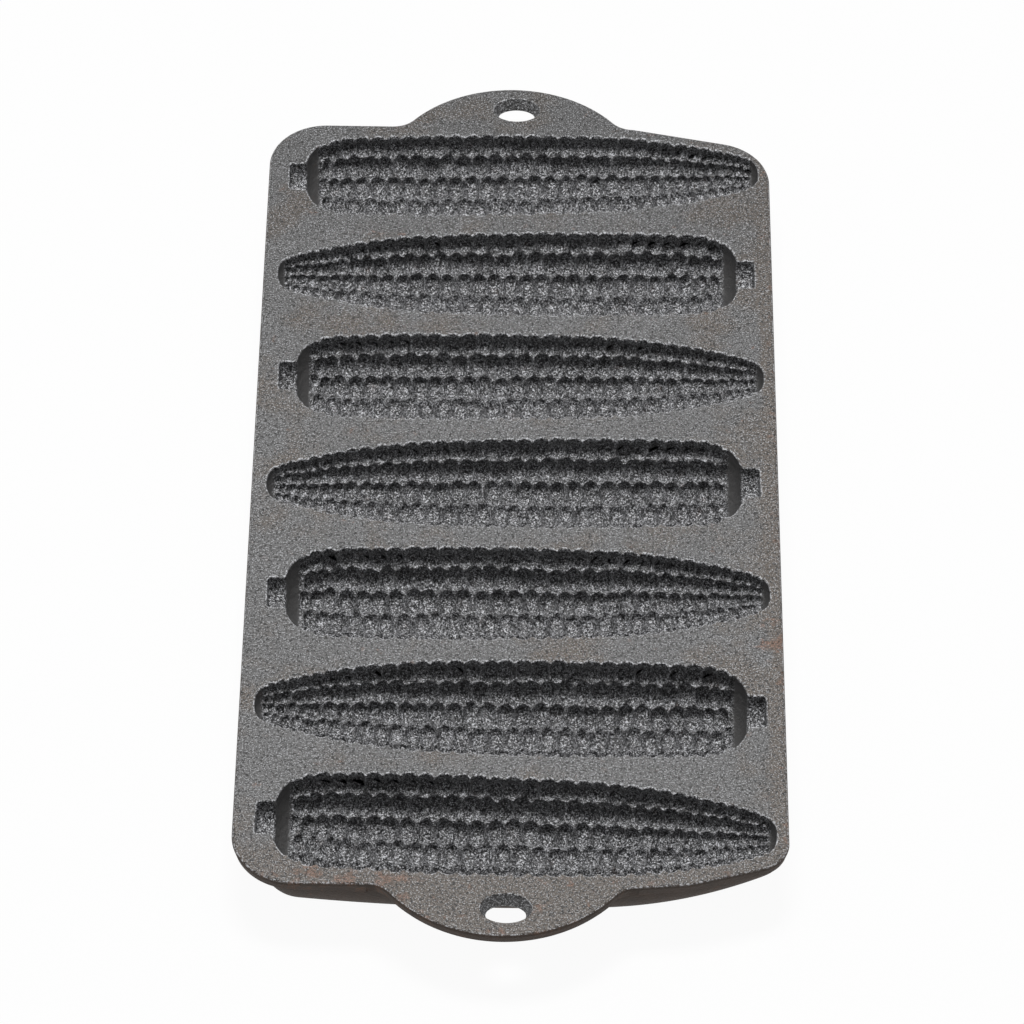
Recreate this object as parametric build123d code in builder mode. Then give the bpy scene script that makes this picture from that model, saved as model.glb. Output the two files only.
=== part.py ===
from build123d import *
import math
import os

os.makedirs("parts", exist_ok=True)

# Corn stick pan, one iron casting with seven half-round cob moulds.
# X runs along the cobs, Y from the near handle to the far one, Z is up.
# The origin is under the middle of the pan, on the surface it stands on.

# Overall sizes
plate_width = 149.0
plate_length = 296.0
deck_thickness = 4.0
edge_draft = 8.0

# Plate outline, square on the stem side of the end cobs and cut back past their tips
stem_corner_radius = 17.0
tip_setback = 8.6
near_tip_corner_radius = 9.0
far_tip_corner_radius = 17.0

# Handle tabs with their oval hang holes
tab_reach = 17.0
tab_radius = 39.0
tab_blend_radius = 8.0
tab_offset = 2.0
tab_root = 6.0
hole_width = 15.0
hole_length = 11.0
hole_inset = 9.4
hole_offset = 1.0
hole_taper = 1.9

# Cob moulds
cob_count = 7
cob_pitch = 42.4
cob_length = 134.5
cob_radius = 17.9
cob_shift = 3.75
axis_drop = 1.5
cup_wall = 3.4
foot_cut = 0.4
cob_tilts = (1.8, 1.0, 0.8, 1.2, 0.8, -0.2, -1.6)

# Shape of a cob, as shares of its length from the heel and of its radius
heel_shares = (0.0, 0.45)
shoulder_shares = (0.062, 0.94)
belly_shares = (0.33, 1.0)
bend_shares = (0.65, 0.925)
nose_shares = (0.963, 0.37)
cup_nose_shares = (0.955, 0.45)

# Stem notch past the heel of each cob
stem_length = 5.5
stem_radius = 6.2
stem_end_wall = 2.8

# Kernel dimples, in rows along the cob
row_count = 8
kernel_radius = 4.2
kernel_pitch = 4.75
kernel_rise = 0.4
kernel_spin = 37.0
groove_depth = 1.7
well_step = 0.15
first_kernel_inset = 2.0
last_kernel_inset = 1.0
crowding_share = 0.6

# One overrun serves every cut
overrun = 2.0

# Places worked out from the sizes above
cup_radius = cob_radius + cup_wall
deck_top = axis_drop + cup_radius - foot_cut
axis_height = deck_top - axis_drop
underside_drop = deck_thickness - axis_drop
deck_bottom = deck_top - deck_thickness
end_y = plate_length / 2
side_x = plate_width / 2
heel_x = cob_shift - cob_length / 2
tip_x = cob_shift + cob_length / 2


def cob_point(shares, radius, wall):
    """A point of a half outline, from its shares of the radius and of the length with its walls."""
    return (heel_x - wall + shares[0] * (cob_length + 2 * wall), shares[1] * radius)


def draw_crest(radius, wall, nose):
    """The long curved side of a cob's half outline, from its shoulder to its nose."""
    belly = ThreePointArc(
        cob_point(shoulder_shares, radius, wall),
        cob_point(belly_shares, radius, wall),
        cob_point(bend_shares, radius, wall),
    )
    taper = TangentArc(belly @ 1, cob_point(nose, radius, wall), tangent=belly % 1)
    return belly, taper


def draw_half_cob(radius, wall, nose):
    """A cob's half outline with a wall added at both ends, closed along its axis."""
    belly, taper = draw_crest(radius, wall, nose)
    tip = TangentArc(taper @ 1, (tip_x + wall, 0), tangent=taper % 1)
    heel_end = cob_point(heel_shares, radius, wall)
    heel = TangentArc(belly @ 0, heel_end, tangent=(belly % 0) * -1)
    Polyline(heel @ 1, (heel_x - wall, 0), tip @ 1)


def kernel_stations(start):
    """Places of one row's kernels: the point on the crest, its slope and the kernel's size."""
    stations = []
    place = start
    while place < crest.length - last_kernel_inset:
        spot = crest.position_at(place, PositionMode.LENGTH)
        slope = crest.tangent_at(place, PositionMode.LENGTH)
        size_share = (spot.Z / crest_radius) ** crowding_share
        stations.append((spot, slope, kernel_radius * size_share))
        place += kernel_pitch * size_share
    return stations


# Crest that the floors of the kernel dimples reach
crest_radius = cob_radius + kernel_rise
with BuildLine(Plane.XZ) as crest_line:
    draw_crest(crest_radius, 0, nose_shares)
crest = crest_line.wire()

# The kernels, turned about the cob's axis row by row, with every other row half a pitch on
row_step = (180 + 2 * math.degrees(math.asin(axis_drop / cob_radius))) / row_count
kernels = []
rim_wells = []
for row in range(row_count):
    row_angle = (row - (row_count - 1) / 2) * row_step
    row_start = first_kernel_inset + kernel_pitch / 2 * (row % 2)
    for spot, slope, size in kernel_stations(row_start):
        centre_x = spot.X + slope.Z * size
        centre_radius = spot.Z - slope.X * size
        centre_y = centre_radius * math.sin(math.radians(row_angle))
        centre_z = -centre_radius * math.cos(math.radians(row_angle))
        turned = Rot(row_angle, 0, 0) * Rot(0, 0, kernel_spin * (len(kernels) + 1))
        kernels.append(Pos(centre_x, centre_y, centre_z) * turned * Sphere(size))
        if row in (0, row_count - 1):
            well_height = axis_drop + overrun - centre_z
            well = Cylinder(size - well_step, well_height)
            well_spin = Rot(0, 0, kernel_spin * len(rim_wells))
            rim_wells.append(Pos(centre_x, centre_y, centre_z + well_height / 2) * well_spin * well)

# The cob that every mould is cut with: a turned core, upright above its axis, and its kernels
core_radius = cob_radius - groove_depth
with BuildPart() as cob_core:
    with BuildSketch(Plane.XZ):
        with BuildLine():
            draw_half_cob(core_radius, 0, nose_shares)
        make_face()
    revolve(axis=Axis.X)
    with BuildSketch(Plane.XY):
        with BuildLine():
            draw_half_cob(core_radius, 0, nose_shares)
        make_face()
        mirror(about=Plane.XZ)
    extrude(amount=axis_drop + overrun)
    with BuildSketch(Plane.YZ.offset(heel_x - stem_length)):
        Circle(stem_radius)
        with Locations((0, (axis_drop + overrun) / 2)):
            Rectangle(2 * stem_radius, axis_drop + overrun)
    extrude(amount=stem_length + stem_radius)
    add(kernels + rim_wells)

# One mould under the deck: a turned shell with its stem boss, a flat foot and the cob cut out
with BuildPart() as cup_blank:
    with BuildSketch(Plane.XZ):
        with BuildLine():
            draw_half_cob(cup_radius, cup_wall, cup_nose_shares)
        make_face()
    revolve(axis=Axis.X)
    with BuildSketch(Plane.YZ.offset(heel_x - stem_length - stem_end_wall)):
        Circle(stem_radius + cup_wall)
    extrude(amount=stem_length + stem_end_wall + stem_radius)
    split(bisect_by=Plane.XY.offset(-underside_drop), keep=Keep.BOTTOM)
    split(bisect_by=Plane.XY.offset(foot_cut - cup_radius), keep=Keep.TOP)
    add(cob_core.part, mode=Mode.SUBTRACT)

# The part of the cob that passes through the deck
with BuildPart() as window_core:
    add(cob_core.part)
    split(bisect_by=Plane.XY.offset(-underside_drop - overrun), keep=Keep.TOP)

# Where each cob lies, stem ends by turns to the left and to the right from the far side
cob_places = []
for place in range(cob_count):
    cob_y = ((cob_count - 1) / 2 - place) * cob_pitch
    cob_turn = cob_tilts[place] + 180 * (place % 2)
    cob_places.append(Location((0, cob_y, axis_height), (0, 0, cob_turn)))

# The deck, drafted at its edge, with seven kernel-edged windows over the moulds
blend_centre_y = end_y + tab_blend_radius
lobe_centre_y = end_y + tab_reach - tab_radius
lobe_rise = blend_centre_y - lobe_centre_y
blend_reach = math.sqrt((tab_radius + tab_blend_radius) ** 2 - lobe_rise**2)
shelf_x = blend_reach - tab_offset
cut_back_y = end_y - tip_setback
with BuildPart() as plate_blank:
    with BuildSketch(Plane.XY.offset(deck_top)) as plate_sketch:
        with BuildLine():
            Polyline(
                (-side_x, -end_y),
                (shelf_x, -end_y),
                (side_x, -cut_back_y),
                (side_x, cut_back_y),
                (shelf_x, end_y),
                (-side_x, end_y),
                close=True,
            )
        make_face()
        fillet(plate_sketch.vertices().group_by(Axis.X)[0], radius=stem_corner_radius)
        tip_corners = plate_sketch.vertices().group_by(Axis.X)[-1].sort_by(Axis.Y)
        fillet(tip_corners[0], radius=near_tip_corner_radius)
        tip_corners = plate_sketch.vertices().group_by(Axis.X)[-1].sort_by(Axis.Y)
        fillet(tip_corners[-1], radius=far_tip_corner_radius)
    extrude(amount=-deck_thickness, taper=edge_draft)

with BuildPart() as deck_plate:
    add(plate_blank.part)
    with Locations(*cob_places):
        add(window_core.part, mode=Mode.SUBTRACT)
deck_plate.part.label = "deck_plate"

# A handle tab: a round lobe blended into the plate's end, with a tapered oval hang hole
blend_share = tab_radius / (tab_radius + tab_blend_radius)
blend_x = blend_share * blend_reach
blend_y = lobe_centre_y + blend_share * lobe_rise
hole_y = end_y + tab_reach - hole_inset
hole_x = hole_offset - tab_offset


def handle_tab(near):
    """The far tab, or the near one, which is the same shape turned over to the other end."""
    with BuildPart() as tab:
        with BuildSketch(Plane.XY.offset(deck_top)):
            with BuildLine():
                left = TangentArc(
                    (-blend_reach - tab_offset, end_y),
                    (-blend_x - tab_offset, blend_y),
                    tangent=(1, 0),
                )
                lobe = ThreePointArc(
                    left @ 1,
                    (-tab_offset, end_y + tab_reach),
                    (blend_x - tab_offset, blend_y),
                )
                right = TangentArc(lobe @ 1, (shelf_x, end_y), tangent=lobe % 1)
                Polyline(
                    right @ 1,
                    (shelf_x, end_y - tab_root),
                    (-blend_reach - tab_offset, end_y - tab_root),
                    left @ 0,
                )
            make_face()
            if near:
                mirror(about=Plane.XZ, mode=Mode.REPLACE)
        extrude(amount=-deck_thickness, taper=edge_draft)
        add(plate_blank.part, mode=Mode.SUBTRACT)
        hole_places = [(hole_x, -hole_y if near else hole_y)]
        with BuildSketch(Plane.XY.offset(deck_top)):
            with Locations(*hole_places):
                Ellipse(hole_width / 2, hole_length / 2)
        with BuildSketch(Plane.XY.offset(deck_bottom)):
            with Locations(*hole_places):
                Ellipse(hole_width / 2 - hole_taper, hole_length / 2 - hole_taper)
        loft(mode=Mode.SUBTRACT)
    return tab.part


for tab_name, near_end in (("far_handle_tab", False), ("near_handle_tab", True)):
    handle = handle_tab(near_end)
    handle.label = tab_name
    export_step(handle, "parts/" + tab_name + ".step", write_pcurves=False)

export_step(deck_plate.part, "parts/deck_plate.step", write_pcurves=False)

# Each mould in its place, numbered from the far handle
for number, cob_place in enumerate(cob_places, start=1):
    with BuildPart() as cob_mould:
        with Locations(cob_place):
            add(cup_blank.part)
    mould_name = "cob_mould_" + str(number)
    cob_mould.part.label = mould_name
    export_step(cob_mould.part, "parts/" + mould_name + ".step", write_pcurves=False)
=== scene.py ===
import math

import bmesh
import bpy
import numpy as np
from mathutils import Matrix, Vector


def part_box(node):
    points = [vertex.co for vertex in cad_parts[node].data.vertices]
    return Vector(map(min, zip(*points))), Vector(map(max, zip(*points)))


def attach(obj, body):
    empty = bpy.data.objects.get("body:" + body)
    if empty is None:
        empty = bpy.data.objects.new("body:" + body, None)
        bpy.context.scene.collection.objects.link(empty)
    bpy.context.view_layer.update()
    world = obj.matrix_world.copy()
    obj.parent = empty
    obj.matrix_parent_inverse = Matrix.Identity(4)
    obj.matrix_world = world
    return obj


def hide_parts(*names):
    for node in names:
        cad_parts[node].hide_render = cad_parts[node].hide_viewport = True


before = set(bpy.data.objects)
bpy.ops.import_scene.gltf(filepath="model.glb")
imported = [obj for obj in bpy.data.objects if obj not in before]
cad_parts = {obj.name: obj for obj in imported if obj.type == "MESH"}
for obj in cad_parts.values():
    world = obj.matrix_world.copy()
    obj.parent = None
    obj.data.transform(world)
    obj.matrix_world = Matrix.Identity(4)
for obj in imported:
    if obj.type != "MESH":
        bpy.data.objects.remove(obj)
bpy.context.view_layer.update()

bl_info = {
    "name": "Cast iron corn stick pan",
    "version": (1, 0, 0),
    "blender": (4, 5, 0),
    "location": "3D View > Sidebar > Corn pan",
    "description": "Builds the castings, the iron finish and the studio of a corn stick pan",
    "category": "Object",
}

# Shapes are worked out in millimetres, and meshes are written in metres
MM = 0.001

# The plate, from the model's own corners
plate_low, plate_high = (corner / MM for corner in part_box("deck_plate"))
SIDE_X = plate_high.x
END_Y = plate_high.y
DECK_TOP = plate_high.z
DECK_BOTTOM = plate_low.z

# How far the plate's edge leans in towards its foot, and the rounding of both its edges
EDGE_DRAFT = 0.56
EDGE_ROUNDING = 1.1
LOWER_ROUNDING = 0.7
EDGE_ZONE = 1.6 * EDGE_ROUNDING

# Plate corners, and the cut back past the tips of the end cobs
STEM_CORNER = 17.0
FAR_TIP_CORNER = 17.0
TIP_SETBACK = 8.6
NEAR_TIP_CORNER = 10.0
NEAR_TIP_SETBACK = 9.3
NEAR_BEND_X = 48.0
NEAR_BEND_SETBACK = 1.4

# Handle tabs and their hang holes
TAB_REACH = 17.0
TAB_RADIUS = 39.0
TAB_BLEND = 8.0
TAB_OFFSET = 2.0
HOLE_HALF_WIDTH = 6.9
HOLE_HALF_LENGTH = 5.0
HOLE_INSET = 9.4
HOLE_OFFSET = 1.0
HOLE_TAPER = 1.5
HOLE_ROUNDING = 0.5
HOLE_BLOCK = 13.0
HOLE_SMOOTHNESS = 0.4

# The row of cobs
COB_COUNT = 7
COB_PITCH = 42.4
ROW_OFFSET = 0.45
COB_TILTS = (1.8, 1.0, 0.8, 1.2, 0.8, -0.2, -1.6)
AXIS_DROP = 1.5
AXIS_HEIGHT = DECK_TOP - AXIS_DROP
SEAM_DROP = AXIS_HEIGHT - DECK_BOTTOM

# One cob's half outline, along its axis and out from it
COB_LENGTH = 134.5
COB_SHIFT = 3.4
COB_RADIUS = 17.9
CUP_WALL = 3.4
FOOT_CUT = 0.4
HEEL_X = COB_SHIFT - COB_LENGTH / 2
TIP_X = COB_SHIFT + COB_LENGTH / 2
BELLY_SHARES = (0.33, 1.0)
BEND_SHARES = (0.65, 0.94)
CAVITY_SHARES = ((0.0, 0.25), (0.092, 0.95), (0.963, 0.45))
CUP_SHARES = ((0.0, 0.50), (0.075, 0.95), (0.956, 0.47))
STEM_LENGTH = 5.0
STEM_RADIUS = 5.6
STEM_END_WALL = 2.8
STEM_FADE = 0.6
OUTLINE_SOFTENING = 0.6

# Kernel dimples, in rows round the cob and at a pitch along it
ROW_COUNT = 8
ROW_STEP = (math.pi + 2 * math.asin(AXIS_DROP / COB_RADIUS)) / ROW_COUNT
KERNEL_PITCH = 4.75
KERNEL_CROWDING_SHARE = 0.6
FIRST_KERNEL = 10.5
LAST_KERNEL = 7.0

# One dimple: the powers of its plan and of its floor, how sharply it meets the next, and its limit
PLAN_POWER = 2.4
FLOOR_POWER = 2.2
MEETING_SHARPNESS = 16
HIGHEST_PEAK = 1.15

# The dimples near the rim: where they grow calm, how much, and the height that they tend to
RIM_CALM_FROM_SHARE = 0.42
RIM_CALM_SHARE = 0.65
RIM_HEIGHT = 0.3

# Unevenness of the sand casting: sizes of the lumps, and heights of those on the plate
LUMP_SIZE = 1.5
GRIT_SIZE = 0.8
GRIT_SHARE = 0.6
WAVE_SIZE = 17.0
WAVE_HEIGHT = 0.05
RIPPLE_SIZE = 2.6
RIPPLE_HEIGHT = 0.022

# How finely the surfaces are divided
OUTLINE_SAMPLES = 306
END_SAMPLES = 6
EDGE_SAMPLES = 37
RING_ROWS = 7
KERNEL_ROWS = 150
SHELL_ROWS = 36
EVEN_SAMPLES = 3000
EDGE_FINE_SAMPLES = 4000
TAB_MIDDLE_SAMPLES = 61

# The studio, in metres, and how white the floor looks to the camera
FLOOR_HALF = 4.0
FLOOR_SEEN_SHARE = 0.95
LAMP_WIDTH = 0.45
LAMP_DEPTH = 0.3
LAMP_PLACE = (-0.03, 0.12, 1.3)
SENSOR_WIDTH = 36.0

# Finish layers of a mesh: how deep in a cavity, how far on the outside, and how free of kernels
LAYERS = ("hollow", "outside", "smooth")

# Rust on the plate: how far each spot lies across and along it, and how far it reaches
RUST_SPOTS = (
    (-54.0, -146.0, 12.0),
    (-36.0, -150.0, 14.0),
    (-28.0, -158.0, 9.0),
    (73.0, -60.0, 12.0),
    (-47.0, -46.0, 5.0),
)


def smoothstep(x, low, high):
    """0 below low, 1 above high, and the cubic 3t^2 - 2t^3 between."""
    t = np.clip((x - low) / (high - low), 0, 1)
    return t * t * (3 - 2 * t)


def lumps(points, size, seed):
    """Value noise from -1 to 1: random numbers on a lattice of that size, blended by smoothsteps."""
    table = np.random.default_rng(seed).random((32, 32, 32)) * 2 - 1
    place = points / size
    cell = np.floor(place).astype(int)
    t = place - cell
    t = t * t * (3 - 2 * t)
    total = 0
    for corner in np.ndindex(2, 2, 2):
        i, j, k = ((cell + corner) % 32).reshape(-1, 3).T
        weight = np.prod(np.where(corner, t, 1 - t), axis=-1)
        total = total + table[i, j, k].reshape(weight.shape) * weight
    return total


def arc(start, middle, end, count):
    """Points on the circle through three points of the complex plane, evenly spaced by angle."""
    w = (end - start) / (middle - start)
    centre = start + (middle - start) * (w - abs(w) ** 2) / (2j * w.imag)
    turn = np.angle((middle - centre) / (start - centre)) + np.angle((end - centre) / (middle - centre))
    return centre + (start - centre) * np.exp(1j * turn * np.linspace(0, 1, count))


def tangent_arc(start, tangent, end, count):
    """Points on the circle that leaves start along tangent and passes end.

    It turns by twice the angle between the tangent and the chord.
    """
    chord = end - start
    side = 1j * tangent / abs(tangent)
    centre = start + side * abs(chord) ** 2 / (2 * (chord * side.conjugate()).real)
    turn = 2 * np.angle(chord / tangent)
    return centre + (start - centre) * np.exp(1j * turn * np.linspace(0, 1, count))


def rounded_corner(before, corner, after, radius, count):
    """Points on the arc of that radius which touches both sides of a corner."""
    u = (before - corner) / abs(before - corner)
    v = (after - corner) / abs(after - corner)
    half = abs(np.angle(v / u)) / 2
    reach = radius / math.tan(half)
    return tangent_arc(corner + u * reach, -u, corner + v * reach, count)


def path_length(path):
    """Length along a path up to each of its points."""
    return np.concatenate([[0], np.cumsum(abs(np.diff(path)))])


def resample(path, stations):
    """Points of a path at those lengths along it."""
    along = path_length(path)
    return np.interp(stations, along, path.real) + 1j * np.interp(stations, along, path.imag)


def soften(path, reach):
    """A path of even steps, averaged by a bell curve of that reach.

    Past both its ends it goes on as its own mirror image over the axis.
    """
    step = path_length(path)[-1] / (len(path) - 1)
    width = int(3 * reach / step)
    bell = np.exp(-0.5 * (np.arange(-width, width + 1) * step / reach) ** 2)
    before = path[width:0:-1].conjugate()
    after = path[-2 : -width - 2 : -1].conjugate()
    smooth = np.convolve(np.concatenate([before, path, after]), bell / bell.sum(), "valid")
    smooth.imag[[0, -1]] = 0
    return smooth


def half_outline(radius, wall, end_shares, stem_x, stem_radius):
    """A cob's half outline from the middle of its stem's end round to its tip, as along + 1j * out."""

    def at(shares):
        return complex(HEEL_X - wall + shares[0] * (COB_LENGTH + 2 * wall), shares[1] * radius)

    heel_end, shoulder, nose = (at(shares) for shares in end_shares)
    belly = arc(shoulder, at(BELLY_SHARES), at(BEND_SHARES), 400)
    taper = tangent_arc(belly[-1], belly[-1] - belly[-2], nose, 200)
    tip = tangent_arc(taper[-1], taper[-1] - taper[-2], complex(TIP_X + wall, 0), 100)
    heel = tangent_arc(belly[0], belly[0] - belly[1], heel_end, 100)[::-1]
    heel = heel[heel.imag > stem_radius]
    stem = np.array([stem_x, stem_x + 1j * stem_radius, heel[0].real + 1j * stem_radius])
    whole = np.concatenate([stem, heel, belly[1:], taper[1:], tip[1:]])
    even = resample(whole, np.linspace(0, path_length(whole)[-1], EVEN_SAMPLES))
    return soften(even, OUTLINE_SOFTENING)


def outline_stations(path):
    """Even stations along a half outline, with one at each end just where it is SEAM_DROP from the axis."""
    along = path_length(path)
    deep = np.flatnonzero(path.imag > SEAM_DROP)
    heel = slice(deep[0] - 1, deep[0] + 1)
    tip = slice(deep[-1] + 1, deep[-1] - 1, -1)
    first = np.interp(SEAM_DROP, path.imag[heel], along[heel])
    last = np.interp(SEAM_DROP, path.imag[tip], along[tip])
    middle = np.linspace(first, last, OUTLINE_SAMPLES - 2 * END_SAMPLES)
    start = np.linspace(0, first, END_SAMPLES + 1)[:-1]
    end = np.linspace(last, along[-1], END_SAMPLES + 1)[1:]
    return np.concatenate([start, middle, end])


class Cob:
    """The cavity of a cob about its own axis: its outline, the outline's normals and its kernel grid."""

    def __init__(self, settings, seed):
        path = half_outline(COB_RADIUS, 0, CAVITY_SHARES, HEEL_X - STEM_LENGTH, STEM_RADIUS)
        stations = outline_stations(path)
        tangents = np.gradient(path)
        self.points = resample(path, stations)
        along = path_length(path)
        facing = np.interp(stations, along, tangents.real) + 1j * np.interp(stations, along, tangents.imag)
        self.normals = 1j * facing / abs(facing)
        self.normals[[0, -1]] = -1, 1
        self.stations = stations
        self.size_shares = (np.maximum(self.points.imag, 1.0) / COB_RADIUS) ** KERNEL_CROWDING_SHARE
        pitches = KERNEL_PITCH * self.size_shares
        counted = np.concatenate([[0], np.cumsum(np.diff(stations) / pitches[1:])])
        start = np.interp(STEM_RADIUS + STEM_LENGTH + FIRST_KERNEL, stations, counted)
        self.phases = counted - start
        self.last_phase = np.interp(stations[-1] - LAST_KERNEL, stations, counted) - start
        self.settings = settings
        scatter = np.random.default_rng(seed)
        self.shifts = scatter.normal(0, settings.kernel_scatter, (3, ROW_COUNT, 64))
        self.seed = seed

    def relief(self, columns, theta):
        """How far the cavity stands out from its outline.

        A dimple is 1 - reach^FLOOR_POWER, where reach is a superellipse in the dimple's cell.
        The nine nearest dimples are blended by a soft maximum, calmed towards the rim, and fade
        out over part of a pitch at both ends of the cob.
        """
        phases = self.phases[columns]
        nearest_row = np.round(theta / ROW_STEP + (ROW_COUNT - 1) / 2).astype(int)
        peaks = []
        for row_step in (-1, 0, 1):
            row = np.clip(nearest_row + row_step, 0, ROW_COUNT - 1)
            place = phases - 0.5 * (row % 2)
            nearest = np.round(place).astype(int)
            across = (theta - (row - (ROW_COUNT - 1) / 2) * ROW_STEP) / (ROW_STEP / 2)
            for kernel_step in (-1, 0, 1):
                kernel = nearest + kernel_step
                along_shift, across_shift, depth_shift = self.shifts[:, row, kernel % 64]
                u = 2 * abs(place - kernel - along_shift) / self.settings.kernel_length_share
                v = abs(across - 2 * across_shift) / self.settings.kernel_width_share
                reach = (u**PLAN_POWER + v**PLAN_POWER) ** (2 / PLAN_POWER)
                peaks.append(1 + depth_shift - reach**FLOOR_POWER)
        total = sum(np.exp(MEETING_SHARPNESS * np.maximum(peak, -1)) for peak in peaks)
        height = np.clip(np.log(total) / MEETING_SHARPNESS, 0, HIGHEST_PEAK)
        calm_from = RIM_CALM_FROM_SHARE * ROW_COUNT * ROW_STEP
        calm = RIM_CALM_SHARE * smoothstep(abs(theta), calm_from, 0.5 * ROW_COUNT * ROW_STEP)
        height = height + calm * (RIM_HEIGHT - height)
        grown = smoothstep(phases, -0.75, -0.35) * smoothstep(self.last_phase - phases, -0.6, 0.2)
        rise = self.settings.kernel_rise / MM
        groove = self.settings.groove_depth / MM
        return grown * self.size_shares[columns] * (rise * height - groove * (1 - height))

    def surface(self, columns, theta):
        """Points at those angles from straight down: the outline and its relief, turned about the axis."""
        relief = self.relief(columns, theta)
        base = self.points[columns]
        turned = np.broadcast_arrays(base.real, base.imag * np.sin(theta), -base.imag * np.cos(theta))
        place = np.stack(turned, -1)
        rough = lumps(place, LUMP_SIZE, self.seed + 1) + GRIT_SHARE * lumps(place, GRIT_SIZE, self.seed + 2)
        relief = relief + self.settings.cast_roughness / MM * rough * smoothstep(base.imag, 1.0, 4.0)
        out = base + relief * self.normals[columns]
        return np.stack([out.real, out.imag * np.sin(theta), -out.imag * np.cos(theta)], -1)

    def seam_angles(self, side):
        """For each column, the angle from straight down at which the surface is SEAM_DROP under the axis."""
        columns = np.arange(len(self.points))
        theta = np.arccos(np.minimum(1, SEAM_DROP / np.maximum(self.points.imag, 1e-6)))
        for _ in range(6):
            point = self.surface(columns, side * theta)
            radius = np.maximum(np.hypot(point[:, 1], point[:, 2]), 1e-6)
            angle = np.arccos(np.minimum(1, SEAM_DROP / radius))
            theta = np.where(self.points.imag > SEAM_DROP + 1e-6, angle, 0)
        return theta

    def kernel_free(self, columns):
        """1 on the bare ends of the cob, and 0 among its kernels and in its stem notch."""
        phases = self.phases[columns]
        ends = 1 - smoothstep(phases, -0.9, -0.5) * smoothstep(self.last_phase - phases, -0.8, 0.0)
        notch = STEM_RADIUS + STEM_LENGTH
        return ends * smoothstep(self.stations[columns], notch - STEM_FADE, notch + STEM_FADE)


def shell_outline():
    """The half outline of the outside of a mould, with as many columns as the cavity."""
    end_x = HEEL_X - STEM_LENGTH - STEM_END_WALL
    path = half_outline(COB_RADIUS + CUP_WALL, CUP_WALL, CUP_SHARES, end_x, STEM_RADIUS + CUP_WALL)
    return resample(path, outline_stations(path))


def cob_place(number):
    """Turn and shift of a cob to the pan: its tilt, half a turn on every other one, and its pitch."""
    turn = math.radians(COB_TILTS[number] + 180 * (number % 2))
    centre = Vector((ROW_OFFSET, ((COB_COUNT - 1) / 2 - number) * COB_PITCH, AXIS_HEIGHT))
    return np.array(Matrix.Rotation(turn, 3, "Z")), np.array(centre)


def place_cob(points, number):
    """Points of a cob in the pan's frame."""
    turn, centre = cob_place(number)
    return points @ turn.T + centre


class Casting:
    """Grid patches of one piece, each with its finish layers, welded into one closed mesh."""

    def __init__(self):
        self.patches = []

    def add(self, grid, hollow=0.0, outside=0.0, smooth=0.0):
        """Adds a grid of points, rows by columns by three, and its finish layers, as numbers or arrays."""
        layers = [np.broadcast_to(layer, grid.shape[:2]) for layer in (hollow, outside, smooth)]
        self.patches.append(np.concatenate([grid, np.stack(layers, -1)], -1))

    def build(self, name):
        """Welds equal points, drops flattened faces and returns the object."""
        points, faces, first = [], [], 0
        for patch in self.patches:
            rows, columns = patch.shape[:2]
            numbers = first + np.arange(rows * columns).reshape(rows, columns)
            corners = [numbers[:-1, :-1], numbers[1:, :-1], numbers[1:, 1:], numbers[:-1, 1:]]
            faces.append(np.stack(corners, -1).reshape(-1, 4))
            points.append(patch.reshape(-1, 6))
            first += rows * columns
        points = np.concatenate(points)
        faces = np.concatenate(faces)
        keys = np.round(points[:, :3] / 0.002).astype(np.int64)
        _, kept, welded = np.unique(keys, axis=0, return_index=True, return_inverse=True)
        points = points[kept]
        faces = welded.reshape(-1)[faces]
        shut = faces == np.roll(faces, -1, axis=1)
        quads = faces[shut.sum(1) == 0]
        quads = quads[(quads[:, 0] != quads[:, 2]) & (quads[:, 1] != quads[:, 3])]
        thin = faces[shut.sum(1) == 1]
        triangles = thin[~shut[shut.sum(1) == 1]].reshape(-1, 3)
        mesh = bpy.data.meshes.new(name)
        mesh.from_pydata((points[:, :3] * MM).tolist(), [], quads.tolist() + triangles.tolist())
        work = bmesh.new()
        work.from_mesh(mesh)
        bmesh.ops.recalc_face_normals(work, faces=work.faces)
        work.to_mesh(mesh)
        work.free()
        for number, layer in enumerate(LAYERS):
            attribute = mesh.attributes.new(layer, "FLOAT", "POINT")
            attribute.data.foreach_set("value", points[:, 3 + number].astype(np.float32))
        mesh.shade_smooth()
        mesh.set_sharp_from_angle(angle=math.radians(62))
        mesh.update()
        piece = bpy.data.objects.new(name, mesh)
        bpy.context.scene.collection.objects.link(piece)
        return piece


def finish_piece(piece, *nodes):
    """Gives a piece the iron finish, and hands it to the frame in place of its nodes."""
    piece.data.materials.append(iron_finish())
    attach(piece, "root")
    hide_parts(*nodes)
    return piece


# The plate's outline and edge

blend_centre_y = END_Y + TAB_BLEND
lobe_centre_y = END_Y + TAB_REACH - TAB_RADIUS
blend_reach = math.sqrt((TAB_RADIUS + TAB_BLEND) ** 2 - (blend_centre_y - lobe_centre_y) ** 2)
lobe_reach = blend_reach * TAB_RADIUS / (TAB_RADIUS + TAB_BLEND)
SHELF_X = blend_reach - TAB_OFFSET


def tab_outline_y(x):
    """The far tab's edge over x: a circle, with a smaller circle curved the other way at each side."""
    across = abs(x + TAB_OFFSET)
    lobe = lobe_centre_y + np.sqrt(np.maximum(TAB_RADIUS**2 - across**2, 0))
    blend = blend_centre_y - np.sqrt(np.maximum(TAB_BLEND**2 - (blend_reach - across) ** 2, 0))
    return np.where(across < lobe_reach, lobe, np.where(across < blend_reach, blend, END_Y))


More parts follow.
